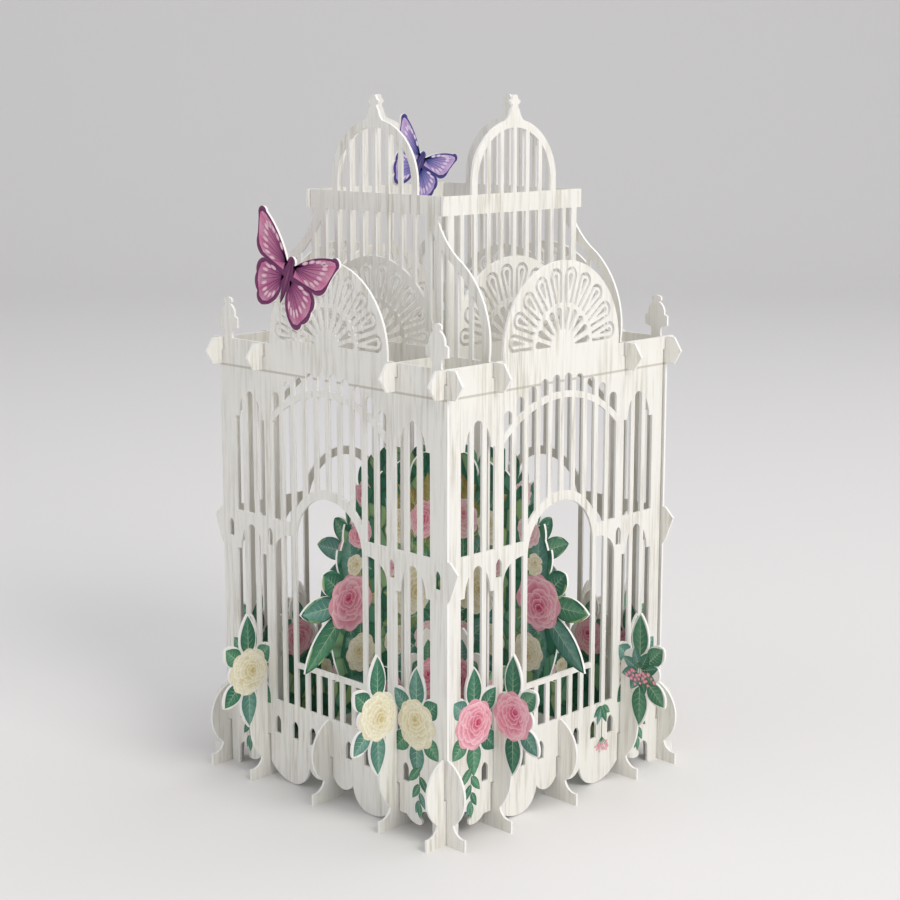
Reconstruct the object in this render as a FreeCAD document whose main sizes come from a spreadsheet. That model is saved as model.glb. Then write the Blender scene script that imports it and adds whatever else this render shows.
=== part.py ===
import FreeCAD, Part
import Sketcher
import math
import os

# Birdcage of slot-together die-cut card, square in plan.
# Frame: origin at the middle of the floor, +Z up, millimetres.
# Long panels lie across X at a fixed Y, cross panels lie across Y at a fixed X.

doc = FreeCAD.newDocument("card_birdcage")

# Driving dimensions
sheet = doc.addObject("Spreadsheet::Sheet", "dims")
dimensions = [
    ("board", 0.8),               # card thickness
    ("cage_width", 100.0),        # between the middles of two facing walls
    ("tower_spacing", 60.0),      # between the middles of two facing tower frames
    ("fold_angle", 40.0),         # degrees that each crossing turns either way
    ("slot_clearance", 0.19),     # spare room on each side of a turned panel
    ("slot_depth_gap", 0.15),     # spare room where two halved slots meet
    ("edge_overhang", 0.7),       # long walls run past the cross walls' faces
    ("plinth_height", 26.5),
    ("foot_slot", 14.0),          # height where the foot slots meet
    ("toe_reach", 8.2),           # feet stand out from the wall's middle
    ("toe_height", 3.75),
    ("fence_gap", 13.0),          # plinth to fence rail
    ("rail_height", 1.75),
    ("lower_bay", 47.25),         # plinth to the springing under the middle band
    ("lower_rise", 8.75),         # springing to the top of the lower bays
    ("band_cover", 3.75),         # top of the lower bays to the top of the middle band
    ("upper_bay", 31.0),          # middle band to the upper springing
    ("upper_rise", 8.5),          # upper springing to the top of the side bays
    ("arch_rise", 10.75),         # upper springing to the underside of the arch
    ("arch_band", 2.0),
    ("arcade_height", 5.5),       # small windows above the arch
    ("frieze", 6.5),              # arcade to the cornice top
    ("cornice_height", 8.5),
    ("tab_flat", 4.2),            # flat part of a cornice tab
    ("tab_reach", 7.0),           # point of a cornice tab
    ("corner_post", 5.9),
    ("pilaster", 3.8),
    ("bar_width", 1.85),
    ("shoulder", 1.7),            # step beside a side bay's arch
    ("door_spring", 41.6),        # fence rail's top edge to the door arch's springing
    ("door_band", 2.9),
    ("slit_pitch", 8.4),
    ("slit_width", 2.8),
    ("slit_height", 6.0),
    ("slit_sill", 15.4),
    ("lens_width", 2.5),
    ("lens_height", 5.75),
    ("lens_sill", 3.5),           # above the lower springing
    ("fan_radius", 26.5),
    ("fan_lift", 1.25),           # fan's centre above the cornice
    ("fan_rim", 1.9),
    ("fan_rib", 1.25),
    ("fan_hub", 5.6),
    ("fan_gap", 1.05),            # open line round each loop of the fan
    ("fan_loop", 0.85),           # card in each loop
    ("pin_inset", 3.2),           # corner pinnacle's middle inside the cross wall
    ("pin_height", 13.0),
    ("pin_width", 8.8),
    ("tower_post", 3.0),
    ("tower_inset", 1.75),        # tower post's outer edge inside the wall's middle
    ("tower_height", 41.25),      # cornice to the tower's top band
    ("tower_band", 5.75),
    ("neck_half", 26.75),         # half the width under the top band
    ("neck_post", 2.5),
    ("tower_corner", 5.0),        # rounding of the open middle's upper corners
    ("tower_bar", 1.6),
    ("tower_pitch", 5.75),
    ("wing_band", 2.9),
    ("dome_stilt", 3.25),
    ("dome_radius", 18.9),
    ("dome_band", 2.5),
    ("finial_height", 7.6),
    ("finial_half", 3.75),        # half the width of a finial's root
    ("base_lift", 5.25),          # inner panels' underside between the feet
    ("heel_inset", 6.0),          # inner panels' feet start inside the wall's middle
    ("heel_flat", 4.5),           # the same, down at the floor
    ("hedge_height", 38.0),
    ("hedge_bump", 1.6),
    ("bush_height", 61.0),        # middle bush above the hedge
    ("bush_half", 46.0),
    ("bloom_radius", 8.2),
    ("ear_radius", 8.0),
    ("bouquet_radius", 9.6),
    ("leaf_reach", 8.5),          # leaf tips past the bloom
    ("bouquet_leaf", 15.0),       # the same for the door bouquets
    ("moth_span", 41.0),
    ("small_moth_span", 31.0),
]
for row, (alias, value) in enumerate(dimensions, start=1):
    sheet.set("A%d" % row, alias)
    sheet.set("B%d" % row, str(value))
    sheet.setAlias("B%d" % row, alias)
doc.recompute()


def size(alias):
    return float(getattr(sheet, alias))


def total(*aliases):
    # A height stacked from named sizes, with the expression that gives it.
    return sum(size(a) for a in aliases), " + ".join("dims." + a for a in aliases)


BOARD = size("board")
HALF = size("cage_width") / 2
TOWER = size("tower_spacing") / 2
TURN = math.radians((90 - size("fold_angle")) / 2)
SLOT = BOARD / math.tan(TURN) + 2 * size("slot_clearance")
SLOT_TEXT = "dims.board / tan((90 - dims.fold_angle) * 0.5 deg) + 2 * dims.slot_clearance"
GAP = size("slot_depth_gap")

# Heights
PLINTH = size("plinth_height")
RAIL_LOW = total("plinth_height", "fence_gap")[0]
RAIL_TOP = total("plinth_height", "fence_gap", "rail_height")
LOWER_SPRING = total("plinth_height", "lower_bay")[0]
LOWER_TOP = LOWER_SPRING + size("lower_rise")
BAND_TOP = LOWER_TOP + size("band_cover")
UPPER_SPRING = BAND_TOP + size("upper_bay")
ARCH_TOP = UPPER_SPRING + size("arch_rise")
CORNICE = total("plinth_height", "lower_bay", "lower_rise", "band_cover", "upper_bay",
                "arch_rise", "arch_band", "arcade_height", "frieze")
CORNICE_TOP = CORNICE[0]
CORNICE_LOW = CORNICE_TOP - size("cornice_height")
CORNICE_MID = CORNICE_TOP - size("cornice_height") / 2
DOOR_SPRING = RAIL_TOP[0] + size("door_spring") - size("rail_height")
FAN_CENTRE = CORNICE_TOP + size("fan_lift")
TOWER_LOW = CORNICE_TOP + size("tower_height")
TOWER_TOP = TOWER_LOW + size("tower_band")
DOME_CENTRE = TOWER_TOP + size("dome_stilt")

# Places along a wall
WALL_END = HALF + BOARD / 2 + size("edge_overhang")
BUTT_END = HALF - SLOT / 2
POST_IN = HALF - size("corner_post")
PILASTER_OUT = TOWER - SLOT / 8
PILASTER_IN = PILASTER_OUT - size("pilaster")
BAR = size("bar_width")
BAYS = 10
BAY_GAP = (2 * PILASTER_IN - (BAYS - 1) * BAR) / BAYS
PITCH = BAY_GAP + BAR
DOOR_HALF = 3 * PITCH - BAR / 2
BLOOM = size("bloom_radius")
EAR = size("ear_radius")
EAR_X = HALF + SLOT / 2 + EAR * 0.96
EAR_Z = PLINTH + EAR * 1.3
TOWER_OUT = HALF - size("tower_inset")
TOWER_IN = TOWER_OUT - size("tower_post")
NECK_SIDE = TOWER - SLOT / 2


def vec(point):
    return FreeCAD.Vector(point[0], point[1], 0)


def loop(start, steps, close=True):
    # Edges of a path. A step of two numbers is a line to a point,
    # a step of four is an arc through the first point to the second.
    edges = []
    here = start
    for step in steps:
        there = step[-2:]
        if len(step) == 2:
            edges.append(Part.LineSegment(vec(here), vec(there)))
        else:
            edges.append(Part.ArcOfCircle(vec(here), vec(step[:2]), vec(there)))
        here = there
    if close and math.dist(here, start) > 1e-6:
        edges.append(Part.LineSegment(vec(here), vec(start)))
    return edges


def flipped(start, steps):
    # The same path on the other side of the panel's middle.
    return (-start[0], start[1]), [flip_step(step) for step in steps]


def flip_step(step):
    return tuple(-v if i % 2 == 0 else v for i, v in enumerate(step))


def both_sides(start, steps):
    return loop(start, steps) + loop(*flipped(start, steps))


def whole(start, steps):
    # A closed outline from its right half, which runs from the lowest to the highest
    # point on the middle line.
    return loop(start, steps, close=False) + loop(*flipped(start, steps), close=False)


def on_circle(centre_z, radius, x):
    return centre_z + math.sqrt(max(radius * radius - x * x, 0.0))


def arch_circle(half_span, spring, top):
    # Centre height and radius of an arch through both springings and its top.
    rise = top - spring
    radius = (half_span * half_span + rise * rise) / (2 * rise)
    return top - radius, radius


def pointed(x, sill, width, height):
    # A small lancet hole with a flat sill.
    half = width / 2
    mid = sill + height * 0.6
    return loop((x - half, sill), [(x + half, sill), (x + half, mid),
                                   (x + half * 0.72, sill + height * 0.85, x, sill + height),
                                   (x - half * 0.72, sill + height * 0.85, x - half, mid)])


def petal(centre_z, angle, inner, outer, rib, step):
    # A pierced petal with round ends that leaves ribs of even width beside it.
    ca, sa = math.cos(angle), math.sin(angle)

    def turn(along, across):
        return (along * ca - across * sa, centre_z + along * sa + across * ca)

    small = (inner * step - rib) / (2 - step)
    large = (outer * step - rib) / (2 + step)
    low = inner + small
    high = outer - large
    return loop(turn(low, -small), [turn(high, -large), turn(outer, 0) + turn(high, large),
                                    turn(low, small), turn(inner, 0) + turn(low, -small)])


def horseshoe(centre_z, angle, inner, outer, rib, step, gap):
    # An open line round a petal's sides and top, so that a loop of card stands inside it.
    ca, sa = math.cos(angle), math.sin(angle)

    def turn(along, across):
        return (along * ca - across * sa, centre_z + along * sa + across * ca)

    def side(along):
        return (along * step - rib) / 2

    large = (outer * step - rib) / (2 + step)
    high = outer - large
    low, low_in = side(inner), side(inner) - gap
    steps = [turn(high, large), turn(outer, 0) + turn(high, -large), turn(inner, -low)]
    steps += [turn(inner, -low_in), turn(high, gap - large), turn(outer - gap, 0) + turn(high, large - gap)]
    steps.append(turn(inner, low_in))
    return loop(turn(inner, low), steps)


def fan_holes(radius):
    holes = []
    petals = 10
    step = math.pi / petals
    rim = radius - size("fan_rim")
    rib = size("fan_rib")
    hub = size("fan_hub")
    gap = size("fan_gap")
    band = gap + size("fan_loop")
    middle = hub + (rim - hub) * 0.36
    eye = (rib + 2 * band + size("fan_loop") / 2) / step
    for i in range(petals):
        angle = step * (i + 0.5)
        holes += horseshoe(FAN_CENTRE, angle, middle + rib, rim, rib, step, gap)
        holes += petal(FAN_CENTRE, angle, eye, rim - band, rib + 2 * band, step)
        holes += petal(FAN_CENTRE, angle, hub, middle, rib, step)
    return holes


def foot_steps(stem=0.0):
    # Right-hand foot from the floor up to the top of its bulb, past the wall.
    # A stem carries the bulb on up to a flower.
    toe = HALF + size("toe_reach")
    bulb = PLINTH * 0.66
    waist_z = size("toe_height") + PLINTH * 0.12
    waist = HALF + size("toe_reach") * 0.42
    end = HALF + SLOT / 2 + stem if stem else WALL_END
    steps = [(toe, 0), (toe, size("toe_height")),
             (waist + size("toe_reach") * 0.2, size("toe_height") + PLINTH * 0.025, waist, waist_z),
             (toe - 0.2, bulb, end, PLINTH)]
    if stem:
        steps.append((end, EAR_Z))
    return steps


def heel_steps():
    # Inner side of an inner panel's foot, down to the floor.
    return [(HALF - size("heel_inset"), size("base_lift")), (HALF - size("heel_flat"), 0)]


def tab_steps():
    flat = HALF + size("tab_flat")
    return [(flat, CORNICE_LOW), (HALF + size("tab_reach"), CORNICE_MID), (flat, CORNICE_TOP)]


def bottom_steps():
    # Scrolled lower edge of a wall, from its middle to the corner.
    flat = size("base_lift")
    notch = flat * 1.43
    first = TOWER * 0.34
    lobe = TOWER * 0.62
    hook = TOWER + (POST_IN - TOWER) * 0.66
    hole_end = POST_IN + 1.1
    hole_mid = (hook + hole_end) / 2
    return [(TOWER * 0.05, notch),
            (TOWER * 0.195, flat * 0.95, first, notch),
            (TOWER * 0.43, flat * 0.42, lobe, flat * 0.05),
            (TOWER * 0.83, flat * 0.36, TOWER * 0.97, flat),
            (TOWER + 4.0, flat),
            (hook - 2.6, flat * 0.66, hook, flat * 0.6),
            (hook + 1.2, flat * 0.82, hook + 0.2, flat * 1.02),
            (hole_mid, flat * 1.53, hole_end - 0.3, flat * 0.9),
            (hole_end, 0)]


def pinnacle_steps():
    # Corner pinnacle, walked from its right foot to its left foot.
    mid = HALF - size("pin_inset")
    half = size("pin_width") / 2
    tall = size("pin_height")

    def at(across, up):
        return (mid + across * half, CORNICE_TOP + up * tall)

    right = [at(0.43, 0), at(0.40, 0.10) + at(0.48, 0.22), at(1.0, 0.26), at(1.0, 0.5),
             at(0.72, 0.54), at(0.62, 0.72) + at(0.22, 0.84), at(0.42, 0.88), at(0.42, 0.95),
             at(0.25, 0.985) + at(0, 1.0)]
    left = [at(-0.25, 0.985) + at(-0.42, 0.95), at(-0.42, 0.88), at(-0.22, 0.84),
            at(-0.62, 0.72) + at(-0.72, 0.54), at(-1.0, 0.5), at(-1.0, 0.26), at(-0.48, 0.22),
            at(-0.40, 0.10) + at(-0.43, 0)]
    return right + left


def fan_end():
    # Half the width of a fan where it meets the cornice.
    return math.sqrt(size("fan_radius") ** 2 - size("fan_lift") ** 2)


def fan_top(x0, x1):
    # Lower edge of a gap from x0 in to x1: the fan's rim, or the cornice outside it.
    rim = size("fan_radius")
    end = fan_end()
    if x0 <= end:
        return [(x0, on_circle(FAN_CENTRE, rim, x0)), over(FAN_CENTRE, rim, x0, x1)]
    steps = [(x0, CORNICE_TOP), (max(end, x1), CORNICE_TOP)]
    if x1 < end:
        steps.append(over(FAN_CENTRE, rim, end, x1))
    return steps


def fan_steps():
    radius = size("fan_radius")
    start = fan_end()
    side = radius * math.sin(math.radians(45))
    return [(start, CORNICE_TOP), (side, FAN_CENTRE + side, 0, FAN_CENTRE + radius)]


def wall_outline(long_wall):
    steps = bottom_steps() + foot_steps()
    if long_wall:
        tip = HALF + size("tab_reach") * 0.75
        steps += [(WALL_END, LOWER_SPRING), (WALL_END + 1.2, LOWER_SPRING + 1.6),
                  (tip, LOWER_TOP + 0.5), (WALL_END + 0.9, BAND_TOP), (WALL_END, BAND_TOP),
                  (WALL_END, CORNICE_LOW)]
        steps += tab_steps() + pinnacle_steps()
    else:
        steps += [(BUTT_END, PLINTH), (BUTT_END, CORNICE_LOW)]
        steps += tab_steps()
    start = (0, steps[0][1])
    return whole(start, steps + fan_steps())


def gap_edges(k):
    # Sides of the k-th gap from the middle of the central bay, k = 0 to 4.
    left = k * PITCH + BAR / 2
    return left, left + BAY_GAP


def over(centre_z, radius, x0, x1):
    # Arc step along an arch from x0 to x1.
    xm = (x0 + x1) / 2
    return (xm, on_circle(centre_z, radius, xm), x1, on_circle(centre_z, radius, x1))


def central_holes():
    holes = []
    arch_z, arch_r = arch_circle(PILASTER_IN, UPPER_SPRING, ARCH_TOP)
    band_r = arch_r + size("arch_band")
    door_r = DOOR_HALF + size("door_band")
    fence = [0, 1, 2]
    for k in range(BAYS // 2):
        x0, x1 = gap_edges(k)
        xm = (x0 + x1) / 2
        top = on_circle(arch_z, band_r, xm) + size("arcade_height")
        spring = top - BAY_GAP / 2
        holes += both_sides((x1, on_circle(arch_z, band_r, x1)),
                            [(x1, spring), (xm, top, x0, spring),
                             (x0, on_circle(arch_z, band_r, x0)),
                             over(arch_z, band_r, x0, x1)])
        high = [(x1, on_circle(arch_z, arch_r, x1)), over(arch_z, arch_r, x1, x0)]
        if k in fence:
            sill = on_circle(DOOR_SPRING, door_r, x1)
            holes += both_sides((x1, sill), high + [(x0, on_circle(DOOR_SPRING, door_r, x0)),
                                                    over(DOOR_SPRING, door_r, x0, x1)])
            holes += both_sides((x0, PLINTH), [(x1, PLINTH), (x1, RAIL_LOW), (x0, RAIL_LOW)])
        else:
            holes += both_sides((x0, BAND_TOP), [(x1, BAND_TOP)] + high)
            near = LOWER_SPRING + size("lower_rise") * lower_curve(x0)
            far = LOWER_SPRING + size("lower_rise") * lower_curve(x1)
            mid = LOWER_SPRING + size("lower_rise") * lower_curve(xm)
            holes += both_sides((x0, PLINTH), [(x1, PLINTH), (x1, far), (xm, mid, x0, near)])
    rail = RAIL_TOP[0]
    holes += loop((-DOOR_HALF, rail), [(DOOR_HALF, rail), (DOOR_HALF, DOOR_SPRING),
                                       (0, DOOR_SPRING + DOOR_HALF, -DOOR_HALF, DOOR_SPRING)])
    return holes


def lower_curve(x):
    # Quarter arch from the pilaster up to the door post.
    start = DOOR_HALF + BAR
    share = (PILASTER_IN - x) / (PILASTER_IN - start)
    share = min(max(share, 0.0), 1.0)
    return 0.18 + 0.76 * math.sqrt(1 - (1 - share) ** 2)


def side_bay_holes(sill, spring, rise):
    # Three gaps between the pilaster and the corner post, under one stepped pointed arch.
    holes = []
    bars = 2
    gap = (POST_IN - PILASTER_OUT - bars * BAR) / (bars + 1)
    step = size("shoulder")
    top = spring + rise
    for s in (0, 2):
        x0 = PILASTER_OUT + s * (gap + BAR)
        x1 = x0 + gap
        outer, inner = (x0, x1) if s == 0 else (x1, x0)
        turn = outer + (step if s == 0 else -step)
        holes += both_sides((outer, sill), [(inner, sill), (inner, spring + rise * 0.72),
                                            ((turn * 2 + inner) / 3, spring + rise * 0.42,
                                             turn, spring),
                                            (outer, spring)])
    x0 = PILASTER_OUT + gap + BAR
    x1 = x0 + gap
    holes += both_sides((x0, sill), [(x1, sill), (x1, top - gap / 2),
                                     ((x0 + x1) / 2, top, x0, top - gap / 2)])
    return holes


def wall_holes(long_wall):
    holes = central_holes()
    holes += side_bay_holes(PLINTH, LOWER_SPRING, size("lower_rise"))
    holes += side_bay_holes(BAND_TOP, UPPER_SPRING, size("upper_rise"))
    lens = [(PILASTER_IN + PILASTER_OUT) / 2]
    if long_wall:
        lens.append((POST_IN + HALF) / 2)
    sill = LOWER_SPRING + size("lens_sill")
    for x in lens:
        for side in (-1, 1):
            holes += pointed(side * x, sill, size("lens_width"), size("lens_height"))
    last = int((POST_IN - size("slit_width")) / size("slit_pitch"))
    for k in range(1, last + 1):
        x = k * size("slit_pitch")
        if abs(x - TOWER) < (SLOT + size("slit_width")) / 2:
            continue
        for side in (-1, 1):
            holes += pointed(side * x, size("slit_sill"), size("slit_width"), size("slit_height"))
    return holes + fan_holes(size("fan_radius"))


def ogee(shift):
    # Bell-shaped shoulder of a tower frame, moved in by shift: top, bend and foot points.
    top = (size("neck_half") - shift, TOWER_LOW - shift * 0.9)
    foot = (TOWER_OUT - shift, CORNICE_TOP)
    rise = TOWER_LOW - CORNICE_TOP
    run = TOWER_OUT - size("neck_half")
    bend = (size("neck_half") + run * 0.52 - shift * 0.75, CORNICE_TOP + rise * 0.667 - shift * 0.75)
    upper = (size("neck_half") + run * 0.17 - shift * 0.8,
             CORNICE_TOP + rise * 0.835 - shift * 0.62)
    lower = (size("neck_half") + run * 0.88 - shift * 0.93, CORNICE_TOP + rise * 0.43 - shift * 0.3)
    return top, upper, bend, lower, foot


def arc_height(p, q, r, x):
    # Height at x on the arc through three points, on its branch nearest the middle point.
    arc = Part.ArcOfCircle(vec(p), vec(q), vec(r))
    centre, radius = arc.Center, arc.Radius
    lift = math.sqrt(max(radius * radius - (x - centre.x) ** 2, 0.0))
    high, low = centre.y + lift, centre.y - lift
    guess = q[1]
    return high if abs(high - guess) < abs(low - guess) else low


def ogee_height(shift, x):
    top, upper, bend, lower, foot = ogee(shift)
    if x < bend[0]:
        return arc_height(top, upper, bend, x)
    return arc_height(bend, lower, foot, x)


def tower_outline(long_frame):
    # Long frames have bell-shaped shoulders. Cross frames stand straight between them,
    # and their top bands run past the long frames' ends.
    steps = heel_steps() + foot_steps(EAR * 0.55)
    steps += [(TOWER_OUT, EAR_Z), (TOWER_OUT, CORNICE_LOW)] + tab_steps()
    if long_frame:
        top, upper, bend, lower, foot = ogee(0)
        band_end = NECK_SIDE
        steps += [foot, lower + bend, upper + top]
    else:
        band_end = TOWER + BOARD / 2 + size("edge_overhang")
        steps += [(NECK_SIDE, CORNICE_TOP), (NECK_SIDE, TOWER_LOW)]
    steps += [(band_end, TOWER_LOW), (band_end, TOWER_TOP)]
    radius = size("dome_radius")
    side = radius * math.sin(math.radians(45))
    tall = size("finial_height")
    root = size("finial_half")
    root_z = on_circle(DOME_CENTRE, radius, root)
    steps += [(radius, TOWER_TOP), (radius, DOME_CENTRE),
              (side, DOME_CENTRE + side, root, root_z),
              (root * 0.72, root_z + tall * 0.16, root * 0.55, root_z + tall * 0.40),
              (root * 0.42, root_z + tall * 0.46), (root * 0.30, root_z + tall * 0.60),
              (root * 0.56, root_z + tall * 0.68), (root * 0.62, root_z + tall * 0.76),
              (root * 0.34, root_z + tall * 0.84), (root * 0.30, root_z + tall * 0.92),
              (root * 0.2, root_z + tall * 0.985, 0, root_z + tall)]
    return whole((0, size("base_lift")), steps)


def tower_holes(long_frame):
    holes = []
    bar = size("tower_bar")
    pitch = size("tower_pitch")
    rim = size("fan_radius")
    neck_in = NECK_SIDE - size("neck_post")
    if long_frame:
        neck_in = size("neck_half") - size("neck_post") * 1.9
    count = math.ceil((neck_in - bar) / pitch)
    for k in range(count):
        x0 = k * pitch + bar / 2
        x1 = (k + 1) * pitch - bar / 2
        if k == count - 1:
            x1 = neck_in
        holes += both_sides((x0, TOWER_LOW), [(x1, TOWER_LOW)] + fan_top(x1, x0))
    if long_frame:
        holes += shoulder_holes(neck_in + size("neck_post"))
    # Gaps of the dome
    inner = size("dome_radius") - size("dome_band")
    count = int(inner / pitch) + 1
    for k in range(count):
        x0 = k * pitch + bar / 2
        x1 = min((k + 1) * pitch - bar / 2, inner)
        if x1 - x0 < bar:
            continue
        holes += both_sides((x0, TOWER_TOP), [(x1, TOWER_TOP), (x1, on_circle(DOME_CENTRE, inner, x1)),
                                              over(DOME_CENTRE, inner, x1, x0)])
    # Open middle above the hedge
    corner = size("tower_corner")
    holes += whole((0, size("hedge_height")),
                   hedge_steps(TOWER_IN) + [(TOWER_IN, CORNICE_LOW - corner),
                                            (TOWER_IN - corner * 0.3, CORNICE_LOW - corner * 0.3,
                                             TOWER_IN - corner, CORNICE_LOW), (0, CORNICE_LOW)])
    return holes + fan_holes(rim)


def shoulder_holes(start):
    # Gaps between the upright bars of a bell-shaped shoulder.
    holes = []
    bar = size("tower_bar")
    shift = size("wing_band")
    edge = TOWER_OUT - shift
    second = TOWER + (edge - TOWER) * 0.27
    third = TOWER + (edge - TOWER) * 0.66
    gaps = [(start, NECK_SIDE - bar), (NECK_SIDE, second), (second + bar, third), (third + bar, edge)]
    for x0, x1 in gaps:
        high = CORNICE_TOP + 3.0 if x1 == edge else ogee_height(shift, x1)
        xm = (x0 + x1) / 2
        holes += both_sides((x0, shoulder_sill(x0)),
                            [(x1, shoulder_sill(x1)), (x1, high),
                             (xm, ogee_height(shift, xm), x0, ogee_height(shift, x0))])
    return holes


def shoulder_sill(x):
    # The shoulder gaps stand on the cornice beam or on the fan's rim.
    rim = size("fan_radius")
    if x < rim:
        return on_circle(FAN_CENTRE, rim, x)
    return CORNICE_TOP


def hedge_steps(end):
    # Clipped-hedge edge in equal bumps from the middle outwards.
    count = 6
    step = end / count
    low = size("hedge_height")
    return [((i + 0.5) * step, low + size("hedge_bump"), (i + 1) * step, low) for i in range(count)]


def bush_steps():
    # Leafy mound from its right foot on the hedge to its top on the middle line.
    # A swell under 1 makes it fuller than an ellipse.
    count = 9
    swell = 0.62
    low = size("hedge_height")

    def at(share, scale):
        angle = min(math.pi / 2 * share / count, math.pi / 2)
        return (size("bush_half") * max(math.cos(angle), 0) ** swell * scale,
                low + size("bush_height") * math.sin(angle) ** swell * scale)

    steps = [at(0, 1.0)]
    for i in range(count):
        tip = at(i + 0.8, 1.1)
        steps.append(at(i + 0.25, 1.07) + tip)
        end = at(i + 1, 1.0) if i < count - 1 else (0, low + size("bush_height"))
        steps.append(at(i + 0.95, 1.035) + end)
    return steps


def centre_outline():
    steps = heel_steps() + foot_steps()
    steps += [(BUTT_END, PLINTH), (BUTT_END, size("hedge_height"))]
    return whole((0, size("base_lift")), steps + bush_steps())


def spray(x, z, radius, tips, leaf):
    # Flower with leaves, as one outline round its middle. Each tip is the share of the leaf
    # length that stands past the petals in that sector; 0 is a round petal.
    count = len(tips)
    sector = 2 * math.pi / count
    root = radius * 0.9

    def polar(distance, angle):
        return (x + distance * math.cos(angle), z + distance * math.sin(angle))

    steps = []
    start = polar(root, -sector / 2)
    for i, tip in enumerate(tips):
        angle = i * sector
        end = polar(root, angle + sector / 2)
        if tip == 0:
            steps.append(polar(radius, angle) + end)
            continue
        reach = radius + leaf * tip
        belly = (root + reach) / 2
        lean = math.atan(root * math.sin(sector / 2) * 1.2 / belly)
        point = polar(reach, angle)
        steps.append(polar(belly, angle - lean) + point)
        steps.append(polar(belly, angle + lean) + end)
    return start, steps


def spray_pair(x, z, radius, tips, leaf="leaf_reach"):
    return both_sides(*spray(x, z, radius, tips, size(leaf)))


def add_sketch(body, name, plane, offset_text, edges):
    sketch = body.newObject("Sketcher::SketchObject", name)
    support = [f for f in body.Origin.OriginFeatures if f.Role == plane][0]
    sketch.AttachmentSupport = [(support, "")]
    sketch.MapMode = "FlatFace"
    sketch.setExpression("AttachmentOffset.Base.z", offset_text)
    sketch.addGeometry(edges, False)
    return sketch


def add_pad(body, name, sketch, length_text, middle=True):
    pad = body.newObject("PartDesign::Pad", name)
    pad.Profile = sketch
    pad.Midplane = middle
    pad.setExpression("Length", length_text)
    return pad


def slot_sketch(body, name, plane, offset_text, slots):
    # Rectangles as wide as a slot, held by constraints: place along the panel, low and high ends.
    sketch = add_sketch(body, name, plane, offset_text, [])
    for side, (place, place_text), (low, low_text), (high, high_text) in slots:
        x = side * place
        first = sketch.GeometryCount
        corners = [(x - SLOT / 2, low), (x + SLOT / 2, low), (x + SLOT / 2, high), (x - SLOT / 2, high)]
        sketch.addGeometry(loop(corners[0], corners[1:]), False)
        for i in range(4):
            nxt = first + (i + 1) % 4
            sketch.addConstraint(Sketcher.Constraint("Coincident", first + i, 2, nxt, 1))
        sketch.addConstraint(Sketcher.Constraint("Horizontal", first))
        sketch.addConstraint(Sketcher.Constraint("Vertical", first + 1))
        sketch.addConstraint(Sketcher.Constraint("Horizontal", first + 2))
        sketch.addConstraint(Sketcher.Constraint("Vertical", first + 3))
        bind(sketch, Sketcher.Constraint("DistanceX", first, 1, first, 2, SLOT), SLOT_TEXT)
        middle_text = "%d * (%s)" % (side, place_text)
        bind(sketch, Sketcher.Constraint("DistanceX", -1, 1, first, 1, x - SLOT / 2),
             "%s - (%s) / 2" % (middle_text, SLOT_TEXT))
        bind(sketch, Sketcher.Constraint("DistanceY", -1, 1, first, 1, low), low_text)
        bind(sketch, Sketcher.Constraint("DistanceY", -1, 1, first + 2, 1, high), high_text)
    return sketch


def bind(sketch, constraint, text):
    index = sketch.addConstraint(constraint)
    sketch.setExpression("Constraints[%d]" % index, text)


# Slot places and ends, each with its number and its expression
CORNER_PLACE = (HALF, "dims.cage_width / 2")
TOWER_PLACE = (TOWER, "dims.tower_spacing / 2")
MIDDLE_PLACE = (0.0, "0")
BELOW = (-2.0, "-2")
FOOT_UP = (size("foot_slot") + GAP, "dims.foot_slot + dims.slot_depth_gap")
FOOT_DOWN = (size("foot_slot") - GAP, "dims.foot_slot - dims.slot_depth_gap")
CORNICE_TEXT = "(" + CORNICE[1] + ")"
MID_TEXT = CORNICE_TEXT + " - dims.cornice_height / 2"
ABOVE_PLINTH = (PLINTH + 1, "dims.plinth_height + 1")
ABOVE_RAIL = (RAIL_TOP[0] + 2 * GAP, RAIL_TOP[1] + " + 2 * dims.slot_depth_gap")
SPRAY_TOP = (PLINTH + EAR * 3.3, "dims.plinth_height + dims.ear_radius * 3.3")
HEDGE_TOP = (size("hedge_height") + BLOOM * 2, "dims.hedge_height + dims.bloom_radius * 2")
BUSH_TOP = (size("hedge_height") + size("bush_height") * 1.2, "dims.hedge_height + dims.bush_height * 1.2")
TAB_UP = (CORNICE_MID + GAP, MID_TEXT + " + dims.slot_depth_gap")
TAB_DOWN = (CORNICE_MID - GAP, MID_TEXT + " - dims.slot_depth_gap")
ABOVE_CORNICE = (CORNICE_TOP + 1, CORNICE_TEXT + " + 1")
UNDER_CORNICE = (CORNICE_LOW - 1, CORNICE_TEXT + " - dims.cornice_height - 1")


def pair(place, low, high):
    return [(side, place, low, high) for side in (-1, 1)]


def wall_slots(long_wall):
    slots = [(1, MIDDLE_PLACE, BELOW, FOOT_UP)]
    slots += pair(TOWER_PLACE, BELOW, FOOT_UP)
    slots += pair(TOWER_PLACE, TAB_DOWN, ABOVE_CORNICE)
    if long_wall:
        slots += pair(CORNER_PLACE, BELOW, FOOT_UP)
        slots += pair(CORNER_PLACE, TAB_DOWN, ABOVE_CORNICE)
    else:
        slots += pair(CORNER_PLACE, FOOT_DOWN, ABOVE_PLINTH)
        slots += pair(CORNER_PLACE, UNDER_CORNICE, TAB_UP)
    return slots


def inner_slots(long_panel, wall_high, green_top):
    # Slots that every inner panel shares: at the walls, and where inner panels cross.
    slots = pair(CORNER_PLACE, FOOT_DOWN, wall_high)
    ends = (BELOW, FOOT_UP) if long_panel else (FOOT_DOWN, green_top)
    slots += pair(TOWER_PLACE, *ends)
    slots.append((1, MIDDLE_PLACE) + ends)
    return slots


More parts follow.
